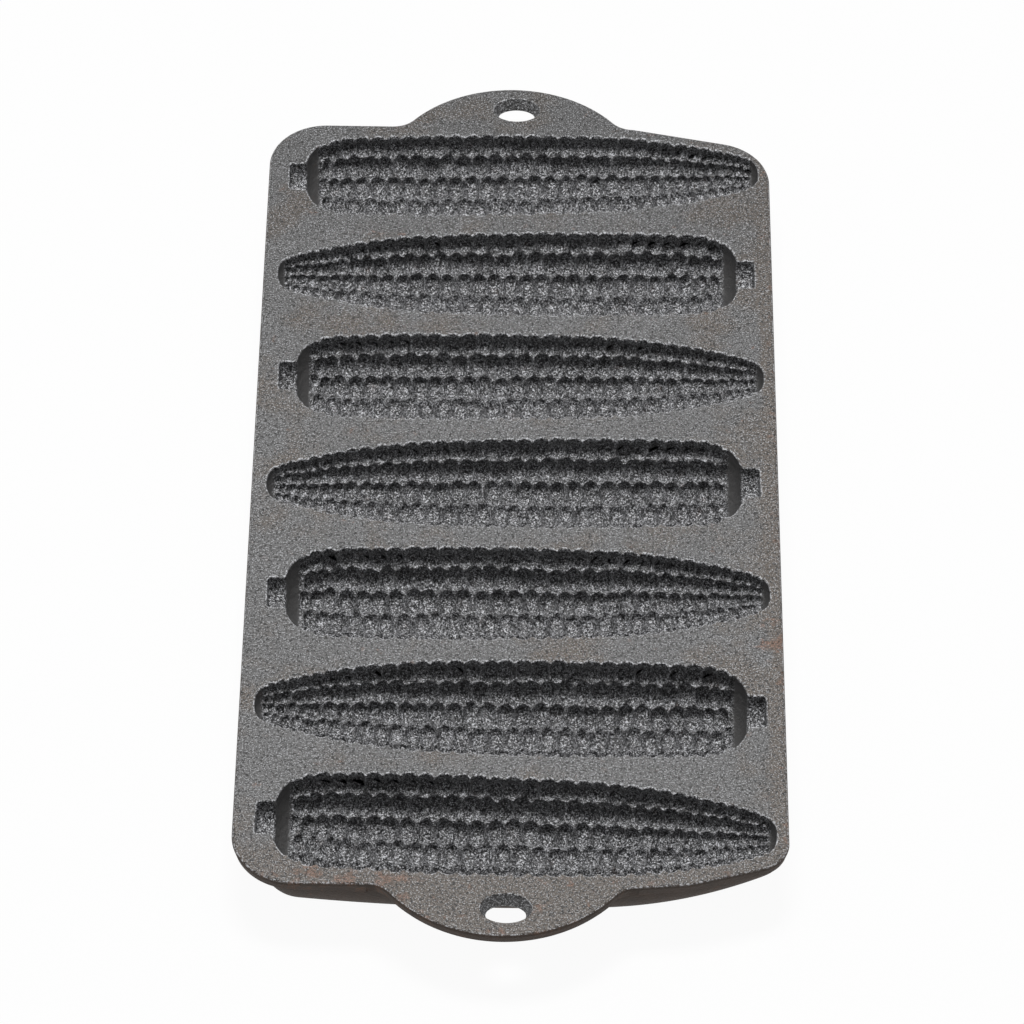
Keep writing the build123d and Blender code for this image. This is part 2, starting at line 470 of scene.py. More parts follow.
def end_outline(near):
    """An end's outline over its corners without the tab, from left to right.

    The near end is given turned over to the far side.
    """
    stem = rounded_corner(complex(-SIDE_X, 0), complex(-SIDE_X, END_Y), complex(0, END_Y), STEM_CORNER, 60)
    shelf = complex(SHELF_X, END_Y)
    bend = complex(NEAR_BEND_X, END_Y - NEAR_BEND_SETBACK) if near else shelf
    cut = complex(SIDE_X, END_Y - (NEAR_TIP_SETBACK if near else TIP_SETBACK))
    tip = rounded_corner(bend, cut, complex(SIDE_X, 0), NEAR_TIP_CORNER if near else FAR_TIP_CORNER, 60)
    middle = np.linspace(stem[-1], shelf, 400)
    return stem, middle, np.concatenate([np.linspace(shelf, bend, 40)[1:], tip] if near else [tip])


def edge_distance(x, y):
    """How far points near the far end lie inside the outline that the plate and its tab make together."""
    stem, _, tip = end_outline(False)
    reach = np.linspace(-blend_reach - TAB_OFFSET, SHELF_X, 600)
    line = np.concatenate([stem, reach + 1j * tab_outline_y(reach), tip])
    start, span = line[:-1], np.diff(line)
    keep = abs(span) > 1e-9
    start, span = start[keep], span[keep]
    point = (x + 1j * y).reshape(-1, 1)
    share = np.clip(((point - start) * span.conjugate()).real / abs(span) ** 2, 0, 1)
    return abs(point - start - share * span).min(1).reshape(np.shape(x))


def top_drop(distance):
    """How far the top is below the deck at a distance inside the outline: a quarter round."""
    across = np.maximum(EDGE_ROUNDING - distance, 0)
    return EDGE_ROUNDING - np.sqrt(np.maximum(EDGE_ROUNDING**2 - across**2, 0))


def bottom_rise(distance):
    """How far the underside is above its level at a distance inside: a quarter round past the draft."""
    inside = np.clip(EDGE_DRAFT + LOWER_ROUNDING - distance, 0, LOWER_ROUNDING)
    return LOWER_ROUNDING - np.sqrt(LOWER_ROUNDING**2 - inside**2)


def waviness(x, y):
    """How far the sand-cast top lies under its level: two sizes of value noise, never above it."""
    place = np.stack(np.broadcast_arrays(x, y, 0 * x), -1)
    waves = -WAVE_HEIGHT * (1 + lumps(place, WAVE_SIZE, 31))
    return waves - RIPPLE_HEIGHT * (1 + lumps(place, RIPPLE_SIZE, 32))


def side_path(number, far):
    """One half of the boundary of a cob's share of the plate, from its left side to its right one.

    Returns the points on the outline or the mid-line, their inward normals, and whether each is on
    the plate's edge.
    """
    centre_y = ((COB_COUNT - 1) / 2 - number) * COB_PITCH
    right_y = centre_y if number else end_outline(False)[2][-1].imag
    sign = 1 if far else -1
    if number == (0 if far else COB_COUNT - 1):
        stem, middle, tip = end_outline(not far)
        left, right = complex(-SIDE_X, abs(centre_y)), complex(SIDE_X, abs(right_y))
        path = np.concatenate([[left], stem, middle, tip, [right]])
        path = path[np.concatenate([[True], abs(np.diff(path)) > 1e-9])]
        stations = np.linspace(0, path_length(path)[-1], OUTLINE_SAMPLES)
        along = np.linspace(0, path_length(path)[-1], EDGE_FINE_SAMPLES)
        facing = np.gradient(resample(path, along))
        facing = np.interp(stations, along, facing.real) + 1j * np.interp(stations, along, facing.imag)
        normals = -1j * facing
        points = resample(path, stations)
        normals /= abs(normals)
        normals[[0, -1]] = 1, -1
        edge = np.ones(OUTLINE_SAMPLES, bool)
        if sign < 0:
            points, normals = points.conjugate(), normals.conjugate()
        return points, normals, edge
    middle_y = centre_y + sign * COB_PITCH / 2
    left_rise = np.linspace(centre_y, middle_y, EDGE_SAMPLES)
    right_rise = np.linspace(middle_y, right_y, EDGE_SAMPLES)
    across = np.linspace(-1, 1, OUTLINE_SAMPLES - 2 * EDGE_SAMPLES + 2)[1:-1] * (SIDE_X - EDGE_ROUNDING)
    points = np.concatenate([-SIDE_X + 1j * left_rise, across + 1j * middle_y, SIDE_X + 1j * right_rise])
    edge = np.ones(OUTLINE_SAMPLES, bool)
    edge[EDGE_SAMPLES:-EDGE_SAMPLES] = False
    normals = np.where(edge, -np.sign(points.real), 0).astype(complex)
    return points, normals, edge


def grid(plan, height):
    """A grid of points from complex places in plan and their heights."""
    return np.stack(np.broadcast_arrays(plan.real, plan.imag, height), -1)


def add_edge(casting, points, normals, inside_tab):
    """Carries the edge's profile along a stretch of outline: round, drafted wall and smaller round."""
    around = np.linspace(0, 1, 7)[:, None] ** 1.5
    offsets = EDGE_ROUNDING * (1 - around)
    plan = points + offsets * normals
    far_plan = plan.real + 1j * abs(plan.imag)
    tab_distance = edge_distance(far_plan.real, far_plan.imag)
    distance = np.where(inside_tab, tab_distance, np.broadcast_to(offsets, plan.shape))
    lift = waviness(plan.real, plan.imag) * smoothstep(distance, 0, EDGE_ROUNDING)
    top = DECK_TOP - top_drop(distance) + lift
    outer = distance[-1]
    casting.add(grid(plan, top), outside=smoothstep(-distance, -0.5, -0.05))
    draft = np.maximum(EDGE_DRAFT - outer, 0)
    wall_top = top[-1]
    wall_foot = DECK_BOTTOM + bottom_rise(np.maximum(outer, EDGE_DRAFT))
    share = np.linspace(0, 1, 5)[:, None]
    wall_height = wall_top + share * (wall_foot - wall_top)
    casting.add(grid(points + share * draft * normals, wall_height), outside=1.0)
    under = np.linspace(0, 1, 5)[:, None] ** 2
    lower = draft + under * (EDGE_DRAFT + LOWER_ROUNDING - draft)
    rise = bottom_rise(np.maximum(lower + outer, EDGE_DRAFT))
    casting.add(grid(points + lower * normals, DECK_BOTTOM + rise), outside=1.0)


def cast_deck(settings):
    """The plate, cob by cob: a ring from rim to the share's boundary, the rim's wall and the underside."""
    casting = Casting()
    for number in range(COB_COUNT):
        cob = Cob(settings, number * 10)
        columns = np.arange(OUTLINE_SAMPLES)
        flipped = number % 2 == 1
        for side in (1, -1):
            far = (side > 0) != flipped
            points, normals, edge = side_path(number, far)
            on_end = abs(abs(points.imag) - END_Y) < 1e-6
            inside_tab = edge & (abs(points.real + TAB_OFFSET) < blend_reach) & on_end
            if edge.all():
                add_edge(casting, points, normals, inside_tab)
            else:
                for stretch in (slice(0, EDGE_SAMPLES), slice(-EDGE_SAMPLES, None)):
                    add_edge(casting, points[stretch], normals[stretch], inside_tab[stretch])
            outer = points + EDGE_ROUNDING * normals
            under = points + (EDGE_DRAFT + LOWER_ROUNDING) * normals
            squeeze = (SIDE_X - EDGE_DRAFT - LOWER_ROUNDING) / (SIDE_X - EDGE_ROUNDING)
            under = np.where(edge, under, under.real * squeeze + 1j * under.imag)
            if flipped:
                outer, under = outer[::-1], under[::-1]

            upright = cob.surface(columns, np.full(OUTLINE_SAMPLES, side * math.pi / 2))
            flat_normals = np.stack([cob.normals.real, side * cob.normals.imag], -1)
            turn = np.linspace(0, math.pi / 2, 5)[:, None]
            rim = settings.rim_rounding / MM
            spread = rim * (1 - np.sin(turn))[..., None]
            rim_height = AXIS_DROP - rim * (1 - np.cos(turn)) + 0 * columns
            rounding = np.concatenate([upright[:, :2] + spread * flat_normals, rim_height[..., None]], -1)
            wall_height = np.linspace(AXIS_DROP - rim, 0, 3)[:, None] + 0 * columns
            wall_plan = np.broadcast_to(upright[:, :2], (3, OUTLINE_SAMPLES, 2))
            wall = np.concatenate([wall_plan, wall_height[..., None]], -1)
            seam = cob.seam_angles(side)
            angles = side * (math.pi / 2 + np.linspace(0, 1, 5)[:, None] * (seam - math.pi / 2))
            lower = cob.surface(columns, angles)
            lower[-1, END_SAMPLES:-END_SAMPLES, 2] = -SEAM_DROP
            bare = cob.kernel_free(columns)
            placed = place_cob(rounding, number)
            placed[0, :, 2] += waviness(placed[0, :, 0], placed[0, :, 1])
            casting.add(placed, hollow=np.linspace(0, 1, 5)[:, None], smooth=bare)
            casting.add(place_cob(wall, number), hollow=1.0, smooth=bare)
            casting.add(place_cob(lower, number), hollow=1.0, smooth=bare)

            inner = placed[0, :, 0] + 1j * placed[0, :, 1]
            share = np.linspace(0, 1, RING_ROWS + 1)[:, None]
            plan = inner + share * (outer - inner)
            casting.add(grid(plan, DECK_TOP + waviness(plan.real, plan.imag)))
            foot = place_cob(lower[-1], number)
            foot[:END_SAMPLES] = foot[END_SAMPLES]
            foot[-END_SAMPLES:] = foot[-END_SAMPLES - 1]
            foot_plan = foot[:, 0] + 1j * foot[:, 1]
            closing = np.stack([foot_plan, under])
            closing_height = np.stack([foot[:, 2], np.full(OUTLINE_SAMPLES, DECK_BOTTOM)])
            casting.add(grid(closing, closing_height), outside=1.0)
    return casting.build("iron_deck")


def cast_mould(settings, number):
    """One mould: the kernel surface inside, a turned shell outside and the flat where it joins."""
    casting = Casting()
    cob = Cob(settings, number * 10)
    shell = shell_outline()
    inside = np.arange(END_SAMPLES, OUTLINE_SAMPLES - END_SAMPLES)
    seams = {side: cob.seam_angles(side)[inside] for side in (1, -1)}
    share = np.linspace(0, 1, KERNEL_ROWS + 1)[:, None]
    theta = -seams[-1] + share * (seams[1] + seams[-1])
    hollow = cob.surface(inside, theta)
    hollow[[0, -1], :, 2] = -SEAM_DROP
    casting.add(place_cob(hollow, number), hollow=1.0, smooth=cob.kernel_free(inside))

    outline = shell[inside]
    reach = np.arccos(np.minimum(1, SEAM_DROP / outline.imag))
    theta = (np.linspace(-1, 1, SHELL_ROWS + 1)[:, None]) * reach
    height = np.maximum(-outline.imag * np.cos(theta), FOOT_CUT - COB_RADIUS - CUP_WALL)
    height[[0, -1]] = -SEAM_DROP
    outer = np.stack(np.broadcast_arrays(outline.real, outline.imag * np.sin(theta), height), -1)
    casting.add(place_cob(outer, number), outside=1.0)
    for row in (0, -1):
        casting.add(place_cob(np.stack([hollow[row], outer[row]]), number), outside=1.0)
    return casting.build(f"iron_cob_mould_{number + 1}")


def oval(heading, half_width, half_length):
    """Points of an oval in those directions from its centre."""
    reach = abs(half_length * heading.real + 1j * half_width * heading.imag)
    return heading * half_width * half_length / reach


def tab_rows(x, outline_y, root_rows, edge_rows):
    """Rows over x from the root line to the tab's edge, close together near it, as places in plan."""
    length = outline_y - END_Y
    near = np.minimum(length, EDGE_ZONE)
    body = END_Y + np.linspace(0, 1, root_rows + 1)[:, None] * (length - near)
    rounding = outline_y - near * (1 - np.linspace(0, 1, edge_rows + 1)[1:, None]) ** 1.5
    return x + 1j * np.concatenate([body, rounding])


def tab_plan(shrink, hole_x, hole_y, half_width, half_length):
    """The tab in plan: a block at each side, and rays from its oval hole out to its middle block's edge."""

    def outline(x):
        return np.maximum(tab_outline_y(x) - shrink, END_Y)

    root_rows, edge_rows, across = 10, 7, 40
    left = np.linspace(-blend_reach - TAB_OFFSET, hole_x - HOLE_BLOCK, across + 1)
    right = np.linspace(hole_x + HOLE_BLOCK, SHELF_X, across + 1)
    middle = np.linspace(left[-1], right[0], TAB_MIDDLE_SAMPLES)
    blocks = [tab_rows(x, outline(x), root_rows, edge_rows) for x in (left, right)]
    outer = (middle + 1j * outline(middle))[1:-1]
    root = (middle[::-1] + 1j * END_Y)[1:]
    loop = np.concatenate([blocks[0][:, -1], outer, blocks[1][::-1, 0], root])
    centre = hole_x + 1j * hole_y
    heading = (loop - centre) / abs(loop - centre)
    rim = oval(heading, half_width, half_length)
    span = abs(loop - centre - rim)
    near = np.minimum(EDGE_ZONE, span)
    steps = np.concatenate(
        [
            np.linspace(0, 1, 13)[:, None] * (span - near),
            span - near * (1 - np.linspace(0, 1, edge_rows + 1)[1:, None]) ** 1.5,
        ]
    )
    ring = centre + rim + steps * heading
    return blocks, ring, heading


def cast_handle(near):
    """A handle tab: its top, underside, drafted edge, root face and tapered oval hole."""
    casting = Casting()
    hole_x = HOLE_OFFSET - TAB_OFFSET
    hole_y = END_Y + TAB_REACH - HOLE_INSET
    mouth = (HOLE_HALF_WIDTH + HOLE_ROUNDING, HOLE_HALF_LENGTH + HOLE_ROUNDING)
    throat = (HOLE_HALF_WIDTH - HOLE_TAPER, HOLE_HALF_LENGTH - HOLE_TAPER)
    foot_mouth = tuple(half + LOWER_ROUNDING for half in throat)
    mirrored = -1 if near else 1

    def add(plan, height, **layers):
        place = plan.real + 1j * mirrored * plan.imag
        casting.add(grid(place, height), **layers)

    tops, top_ring, heading = tab_plan(0, hole_x, hole_y, *mouth)
    feet, foot_ring, foot_heading = tab_plan(EDGE_DRAFT, hole_x, hole_y, *foot_mouth)
    top_edges, foot_edges = [], []
    for plan in [*tops, top_ring]:
        distance = edge_distance(plan.real, plan.imag)
        lift = waviness(plan.real, mirrored * plan.imag) * smoothstep(distance, 0, EDGE_ROUNDING)
        height = DECK_TOP - top_drop(distance) + lift
        add(plan, height, outside=smoothstep(-distance, -0.5, -0.05))
        top_edges.append(grid(plan, height))
    for plan in [*feet, foot_ring]:
        distance = np.maximum(edge_distance(plan.real, plan.imag), EDGE_DRAFT)
        height = DECK_BOTTOM + bottom_rise(distance)
        add(plan, height, outside=1.0)
        foot_edges.append(grid(plan, height))

    rows = len(tops[0])
    arc_columns = slice(rows - 1, rows + TAB_MIDDLE_SAMPLES - 1)
    upper = [top_edges[0][-1], top_edges[2][-1, arc_columns], top_edges[1][-1]]
    lower = [foot_edges[0][-1], foot_edges[2][-1, arc_columns], foot_edges[1][-1]]
    root_columns = slice(2 * rows + TAB_MIDDLE_SAMPLES - 3, None)
    upper_root = [top_edges[0][0], top_edges[2][-1, root_columns], top_edges[1][0]]
    lower_root = [foot_edges[0][0], foot_edges[2][-1, root_columns], foot_edges[1][0]]
    share = np.linspace(0, 1, 5)[:, None, None]
    for above, below in zip(upper + upper_root, lower + lower_root):
        wall = above + share * (below - above)
        wall[..., 1] *= mirrored
        casting.add(wall, outside=1.0)

    centre = hole_x + 1j * hole_y
    turn = np.linspace(0, math.pi / 2, 7)[:, None]
    halves = (HOLE_HALF_WIDTH, HOLE_HALF_LENGTH)
    bevel = [
        oval(heading, *(half + HOLE_ROUNDING * (1 - math.sin(a)) for half in halves))
        for a in turn[:, 0]
    ]
    bevel = centre + np.stack(bevel)
    depth = HOLE_ROUNDING * (1 - np.cos(turn))
    top = DECK_TOP - depth + 0 * bevel.real
    top[0] = top_edges[2][0, :, 2]
    add(bevel, top, hollow=smoothstep(depth, 0, HOLE_ROUNDING) + 0 * top, smooth=HOLE_SMOOTHNESS)
    low_z = DECK_BOTTOM + LOWER_ROUNDING
    share = np.linspace(0, 1, 7)[:, None]
    wall = bevel[-1] + share * (centre + oval(foot_heading, *throat) - bevel[-1])
    add(wall, top[-1] + share * (low_z - top[-1]), hollow=1.0, smooth=HOLE_SMOOTHNESS)
    flare = [
        oval(foot_heading, *(half + LOWER_ROUNDING * (1 - math.cos(a)) for half in throat))
        for a in turn[:, 0]
    ]
    flare_height = low_z - LOWER_ROUNDING * np.sin(turn) + 0 * top
    add(centre + np.stack(flare), flare_height, hollow=1.0, smooth=HOLE_SMOOTHNESS)
    return casting.build("iron_near_handle" if near else "iron_far_handle")


class Wire:
    """A node's output socket, on which + - and * make Math nodes."""

    def __init__(self, kit, socket):
        self.kit = kit
        self.socket = socket

    def _math(self, operation, first, second):
        return self.kit.node("ShaderNodeMath", {"operation": operation}, {0: first, 1: second})

    def __add__(self, other):
        return self._math("ADD", self, other)

    __radd__ = __add__

    def __sub__(self, other):
        return self._math("SUBTRACT", self, other)

    def __rsub__(self, other):
        return self._math("SUBTRACT", other, self)

    def __mul__(self, other):
        return self._math("MULTIPLY", self, other)

    __rmul__ = __mul__


class ShaderKit:
    """Makes the nodes of one material."""

    def __init__(self, name):
        self.material = bpy.data.materials.new(name)
        self.material.use_nodes = True
        self.tree = self.material.node_tree
        self.tree.nodes.clear()

    def node(self, kind, settings=None, inputs=None, output=0):
        """A node of that kind with its settings and the values or links of its inputs; returns one output."""
        node = self.tree.nodes.new(kind)
        for key, value in (settings or {}).items():
            setattr(node, key, value)
        for key, value in (inputs or {}).items():
            if isinstance(value, Wire):
                self.tree.links.new(value.socket, node.inputs[key])
            else:
                node.inputs[key].default_value = value
        return Wire(self, node.outputs[output]) if node.outputs else None

    def noise(self, place, size, detail=2.0, roughness=0.5, distortion=0.0):
        """Noise from 0 to 1 with features of that size in millimetres."""
        return self.node(
            "ShaderNodeTexNoise",
            inputs={
                "Vector": place,
                "Scale": 1 / (size * MM),
                "Detail": detail,
                "Roughness": roughness,
                "Distortion": distortion,
            },
        )

    def ramp(self, value, low, high):
        """0 below low, 1 above high, smooth between."""
        return self.node(
            "ShaderNodeMapRange",
            {"interpolation_type": "SMOOTHSTEP"},
            {"Value": value, "From Min": low, "From Max": high},
        )

    def mix(self, share, first, second):
        """A colour between two, by share."""
        return self.node("ShaderNodeMix", {"data_type": "RGBA"}, {0: share, 6: first, 7: second}, output=2)

    def bump(self, height, depth, under=None):
        """A normal bent by a height of 0 to 1 times that depth, on top of the normal under it."""
        inputs = {"Strength": 1.0, "Distance": depth, "Height": height}
        if under:
            inputs["Normal"] = under
        return self.node("ShaderNodeBump", inputs=inputs)

    def axis(self, place, letter):
        """One coordinate of a place, in metres."""
        return self.node("ShaderNodeSeparateXYZ", inputs={0: place}, output=letter)

    def band(self, value, low, high):
        """1 between low and high and 0 at both ends of the scale."""
        return self.ramp(value, low * 0.5, low) * (1 - self.ramp(value, high, (1 + high) * 0.5))

    def spot(self, place, x, y, reach):
        """1 at a place on the plate, in millimetres, and 0 from its reach on."""
        middle = (x * MM, y * MM, DECK_TOP * MM)
        ends = {0: place, 1: middle}
        distance = self.node("ShaderNodeVectorMath", {"operation": "DISTANCE"}, ends, output="Value")
        return 1 - self.ramp(distance, 0.0, reach * MM)

    def layer(self, name):
        """One of the mesh's finish layers."""
        return self.node("ShaderNodeAttribute", {"attribute_name": name}, output="Fac")


def colour(values):
    """A property's colour with full alpha."""
    return (*values, 1.0)


def iron_finish():
    """Seasoned sand-cast iron: grainy grey on the plate with painted glints and painted shade towards its far
    end, black in the cobs with painted sparkle, brown edges darkened partly by painted shade.
    """
    found = bpy.data.materials.get("seasoned_iron")
    if found:
        return found
    settings = bpy.context.scene.corn_pan_iron
    kit = ShaderKit("seasoned_iron")
    place = kit.node("ShaderNodeTexCoord", output="Object")
    hollow, outside, bare = (kit.layer(name) for name in LAYERS)
    near_end = kit.ramp(0 - kit.axis(place, "Y"), 0.110, 0.160)
    far_painted_shade = kit.ramp(kit.axis(place, "Y"), 0.02, 0.17)
    right_side = kit.ramp(kit.axis(place, "X"), 0.045, 0.075)
    right_edge = kit.ramp(kit.axis(place, "X"), 0.0690, 0.0735)
    kernels = 1 - bare

    grain = kit.noise(place, 0.8, detail=2.0, roughness=0.6, distortion=0.6)
    fine = kit.noise(place, 0.42, detail=1.0, roughness=0.5)
    crumbs = kit.noise(place, 0.6, detail=1.0, roughness=0.6, distortion=1.0)
    patches = kit.noise(place, 24.0, detail=3.0, roughness=0.6)
    clouds = kit.noise(place, 7.0, detail=4.0, roughness=0.6)

    warm = kit.ramp(patches + near_end * 0.24 + right_side * 0.10 + right_edge * 0.25, 0.48, 0.66)
    plate = kit.mix(warm, colour(settings.plate_colour), colour(settings.warm_colour))
    # Painted shade: the plate is darkened towards its far end to stand in for the light falling off there.
    plate = kit.mix(far_painted_shade * 0.32, plate, colour(settings.pore_and_shade_colour))
    plate = kit.mix(kit.ramp(grain, 0.36, 0.54), colour(settings.pore_and_shade_colour), plate)
    # Painted highlight: near-white flecks on the plate stand in for light glinting off the sand grain.
    plate = kit.mix(kit.ramp(fine, 0.54, 0.68) * 0.48, plate, colour(settings.painted_glint_colour))

    crust = kit.ramp(crumbs, 0.43, 0.57)
    pit = kit.mix(crust, colour(settings.pit_colour), colour(settings.worn_pit_colour))
    # Painted highlight: near-white flecks in the cobs stand in for light sparkling off the rough grain.
    painted_sparkle = kit.ramp(fine, 0.49, 0.60) * crust
    pit = kit.mix(painted_sparkle, pit, colour(settings.painted_glint_colour))
    pit = kit.mix(bare, pit, colour(settings.bare_pit_colour))

    # The edges, underside and mould shells: a brown tint that the iron has, made much darker than the plate
    # as painted shade for faces that the overhead lamp misses.
    skin_and_shade = kit.mix(kit.ramp(clouds, 0.3, 0.9), colour(settings.skin_tone_and_shade_colour), colour(settings.dark_skin_and_shade_colour))
    base = kit.mix(outside, plate, skin_and_shade)
    base = kit.mix(hollow, base, pit)
    # Painted highlight: bright flecks along the plate's rounded edges and the cavity rims stand in for light
    # catching the rounding.
    painted_edge_glints = kit.band(outside, 0.1, 0.6) + kit.band(hollow, 0.1, 0.9)
    base = kit.mix(painted_edge_glints * kit.ramp(crumbs, 0.50, 0.60) * 0.7, base, colour(settings.painted_glint_colour))

    rusty = near_end * 0.05 + right_edge * 0.06
    for x, y, reach in RUST_SPOTS:
        rusty = rusty + kit.spot(place, x, y, reach) * 0.16
    rust_bed = kit.ramp(kit.noise(place, 4.5, detail=4.0, roughness=0.7) + rusty, 0.62, 0.74)
    rust = rust_bed * (0.2 + kit.ramp(fine, 0.48, 0.60) * 0.8)
    rust = rust * (1 - hollow * 0.7) * (1 - outside * 0.6) * settings.rust_share
    base = kit.mix(rust, base, colour(settings.rust_colour))

    plate_bump = kit.bump(grain * 0.75 + fine * 0.25, settings.grain_depth)
    pit_grain = (fine * 0.5 + crumbs * 0.5) * (0.15 + kernels * 0.85) * hollow
    pit_bump = kit.bump(pit_grain, settings.pit_grain_depth, plate_bump)
    shader = kit.node(
        "ShaderNodeBsdfPrincipled",
        inputs={
            "Base Color": base,
            "Roughness": 0.50 - hollow * kernels * 0.16 + outside * 0.25,
            "Normal": pit_bump,
            "Specular IOR Level": settings.sheen_level,
        },
    )
    kit.node("ShaderNodeOutputMaterial", inputs={"Surface": shader})
    return kit.material


def floor_finish():
    """A pale floor that the camera and mirrors see almost white, with the pan's faint shadow on it."""
    kit = ShaderKit("pale_floor")
    path = kit.node("ShaderNodeLightPath", output="Is Camera Ray")
    glossy = Wire(kit, path.socket.node.outputs["Is Glossy Ray"])
    through = Wire(kit, path.socket.node.outputs["Is Transmission Ray"])
    seen = kit.node("ShaderNodeMath", {"operation": "MAXIMUM"}, {0: path, 1: glossy + through})
    diffuse = kit.node("ShaderNodeBsdfDiffuse", inputs={"Color": (0.8, 0.8, 0.8, 1.0)})
    white = kit.node("ShaderNodeEmission", inputs={"Color": (1.0, 1.0, 1.0, 1.0), "Strength": 1.0})
    mixed = kit.node("ShaderNodeMixShader", inputs={0: seen * FLOOR_SEEN_SHARE, 1: diffuse, 2: white})
    kit.node("ShaderNodeOutputMaterial", inputs={"Surface": mixed})
    return kit.material


def studio_world():
    """Even grey light from all round, which the camera sees as white."""
    world = bpy.data.worlds.new("studio")
    world.use_nodes = True
    tree = world.node_tree
    tree.nodes.clear()
    path = tree.nodes.new("ShaderNodeLightPath")
    background = tree.nodes.new("ShaderNodeBackground")
    background.inputs["Color"].default_value = (1.0, 1.0, 1.0, 1.0)
    background.inputs["Strength"].default_value = bpy.context.scene.corn_pan_stage.fill_light
    seen = tree.nodes.new("ShaderNodeBackground")
    seen.inputs["Color"].default_value = (1.0, 1.0, 1.0, 1.0)
    seen.inputs["Strength"].default_value = 1.0
    mix = tree.nodes.new("ShaderNodeMixShader")
    output = tree.nodes.new("ShaderNodeOutputWorld")
    tree.links.new(path.outputs["Is Camera Ray"], mix.inputs[0])
    tree.links.new(background.outputs[0], mix.inputs[1])
    tree.links.new(seen.outputs[0], mix.inputs[2])
    tree.links.new(mix.outputs[0], output.inputs["Surface"])
    bpy.context.scene.world = world


class CornPanCasting(bpy.types.PropertyGroup):
    """Sizes of the castings that the frame leaves open."""

    kernel_rise: bpy.props.FloatProperty(
        name="Kernel rise", description="How far the floor of a dimple lies outside the cob's outline",
        default=0.4 * MM, unit="LENGTH",
    )
    groove_depth: bpy.props.FloatProperty(
        name="Groove depth", description="How far the ridges between dimples stand inside the cob's outline",
        default=1.8 * MM, unit="LENGTH",
    )
    kernel_length_share: bpy.props.FloatProperty(
        name="Kernel length", description="Length of a dimple as a share of the kernel pitch", default=1.0,
    )
    kernel_width_share: bpy.props.FloatProperty(
        name="Kernel width", description="Width of a dimple as a share of the row's step", default=1.08,
    )
    kernel_scatter: bpy.props.FloatProperty(
        name="Kernel scatter", description="How unevenly the dimples lie and how their depths differ",
        default=0.045,
    )
    rim_rounding: bpy.props.FloatProperty(
        name="Rim rounding", description="Radius of the edge between the plate and a cavity",
        default=0.55 * MM, unit="LENGTH",
    )
    cast_roughness: bpy.props.FloatProperty(
        name="Cast roughness", description="Height of the small lumps in the cavities",
        default=0.09 * MM, unit="LENGTH",
    )


class CornPanIron(bpy.types.PropertyGroup):
    """Colours and grain of the iron."""

    plate_colour: bpy.props.FloatVectorProperty(
        name="Plate", description="Grey of the plate", subtype="COLOR", default=(0.150, 0.149, 0.149))
    warm_colour: bpy.props.FloatVectorProperty(
        name="Warm patches", description="Brown tint of worn seasoning",
        subtype="COLOR", default=(0.140, 0.120, 0.103))
    # The pore tone is also the painted shade towards the plate's far end.
    pore_and_shade_colour: bpy.props.FloatVectorProperty(
        name="Pores", description="Hollows of the grain", subtype="COLOR", default=(0.032, 0.031, 0.030))
    # Painted highlight: the near-white colour of the flecks that stand in for glints of light on the grain.
    painted_glint_colour: bpy.props.FloatVectorProperty(
        name="Glints", description="Bright grains of bare iron", subtype="COLOR", default=(0.75, 0.76, 0.79))
    pit_colour: bpy.props.FloatVectorProperty(
        name="Cavities", description="Dark seasoning in the cobs",
        subtype="COLOR", default=(0.022, 0.022, 0.023))
    worn_pit_colour: bpy.props.FloatVectorProperty(
        name="Worn cavities", description="Lighter seasoning in the cobs",
        subtype="COLOR", default=(0.180, 0.179, 0.183))
    bare_pit_colour: bpy.props.FloatVectorProperty(
        name="Bare ends", description="Smooth ends of the cobs",
        subtype="COLOR", default=(0.092, 0.090, 0.089))
    # Brown tint of the iron's skin, partly painted shade: both skin colours are much darker than the plate to
    # stand in for the shade on its sides and underside.
    skin_tone_and_shade_colour: bpy.props.FloatVectorProperty(
        name="Edges", description="Brown grey of the edges", subtype="COLOR", default=(0.062, 0.041, 0.029))
    dark_skin_and_shade_colour: bpy.props.FloatVectorProperty(
        name="Underside", description="Dark grey of the underside",
        subtype="COLOR", default=(0.036, 0.027, 0.021))
    rust_colour: bpy.props.FloatVectorProperty(
        name="Rust", description="Orange brown of the rust", subtype="COLOR", default=(0.30, 0.125, 0.055))
    rust_share: bpy.props.FloatProperty(
        name="Rust", description="How strongly the rust covers the iron", default=0.6, min=0.0, max=1.0)
    sheen_level: bpy.props.FloatProperty(
        name="Sheen", description="How strongly the seasoning mirrors light", default=0.55, min=0.0, max=1.0)
    grain_depth: bpy.props.FloatProperty(
        name="Grain depth", description="Height of the sand grain on the plate",
        default=0.40 * MM, unit="LENGTH")
    pit_grain_depth: bpy.props.FloatProperty(
        name="Cavity grain depth", description="Height of the sand grain in the cobs",
        default=0.45 * MM, unit="LENGTH")


class CornPanStage(bpy.types.PropertyGroup):
    """The camera and the lights."""

    azimuth: bpy.props.FloatProperty(
        name="Azimuth", description="Camera's turn about the pan",
        default=math.radians(0.11), unit="ROTATION")
    elevation: bpy.props.FloatProperty(
        name="Elevation", description="Camera's height angle", default=math.radians(46.5), unit="ROTATION")
    roll: bpy.props.FloatProperty(
        name="Roll", description="Camera's turn about its own axis",
        default=math.radians(0.926), unit="ROTATION")
    distance: bpy.props.FloatProperty(
        name="Distance", description="From the camera to the point it looks at", default=1.612, unit="LENGTH")
    focal_length: bpy.props.FloatProperty(
        name="Focal length", description="Camera's focal length in millimetres", default=201.45)
    aim: bpy.props.FloatVectorProperty(
        name="Aim", description="Point that the camera looks at", subtype="TRANSLATION",
        default=(-0.8 * MM, -11.6 * MM, DECK_TOP * MM))
    fill_light: bpy.props.FloatProperty(
        name="Fill", description="Strength of the light from all round", default=0.20)
    key_power: bpy.props.FloatProperty(
        name="Key", description="Power of the overhead light in watts", default=14.0, unit="POWER")


